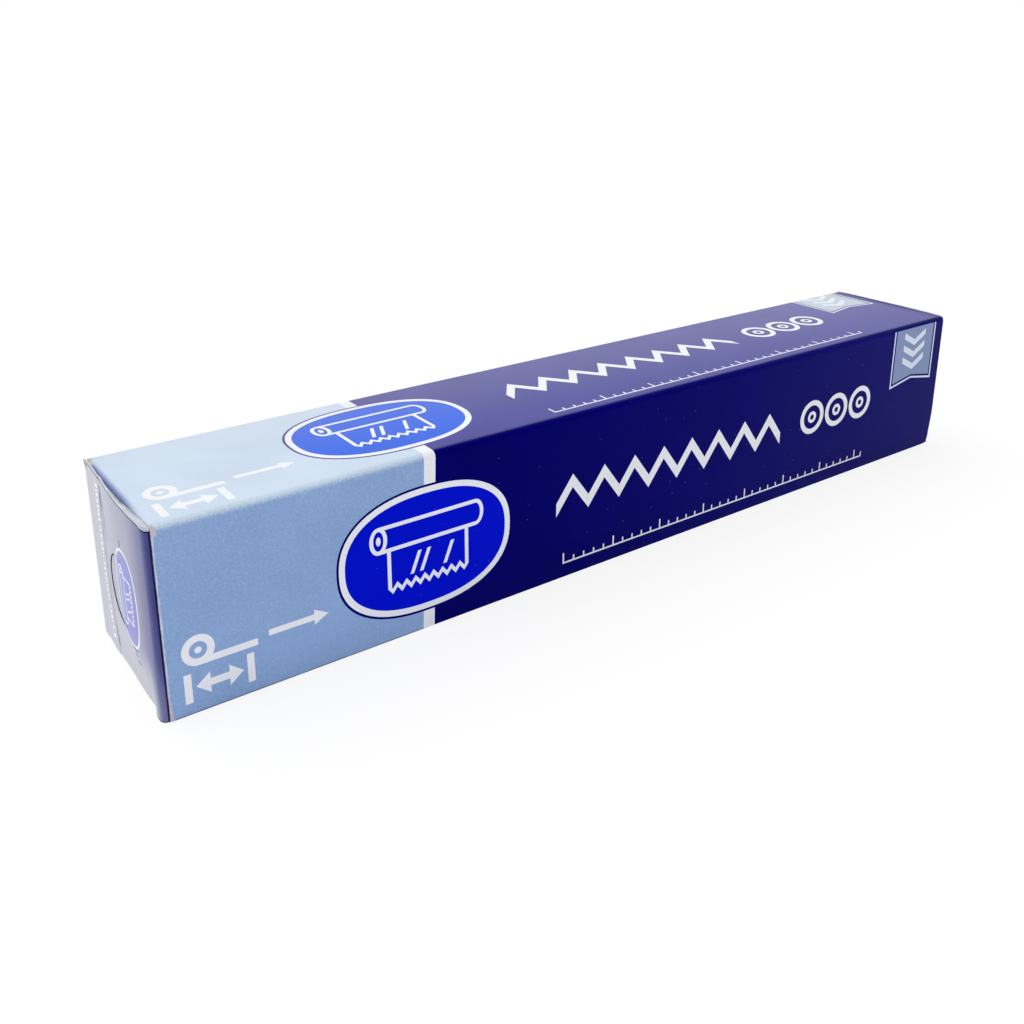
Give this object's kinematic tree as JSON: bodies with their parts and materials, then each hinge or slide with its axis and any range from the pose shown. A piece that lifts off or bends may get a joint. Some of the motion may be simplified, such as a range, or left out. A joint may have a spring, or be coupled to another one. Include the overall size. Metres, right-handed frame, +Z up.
{
  "type": "boxed aluminium foil roll",
  "caption": "Long rectangular board carton, glued shut over a wound roll of kitchen foil, with lid board lapped over the front, bowed end flaps and a press-in end tab.",
  "frame": {"origin": "under the middle of the carton, on the surface that it stands on", "axes": "+X along the carton to its right end, -Y out of the face with the lid's front, +Z up"},
  "size_m": [0.3144, 0.0508, 0.0524],
  "materials": {
    "printed_board": "navy, light blue and white ink under a glossy press varnish on folding boxboard"
  },
  "bodies": {
    "root": {"foil_carton": "printed_board"}
  },
  "joints": []
}
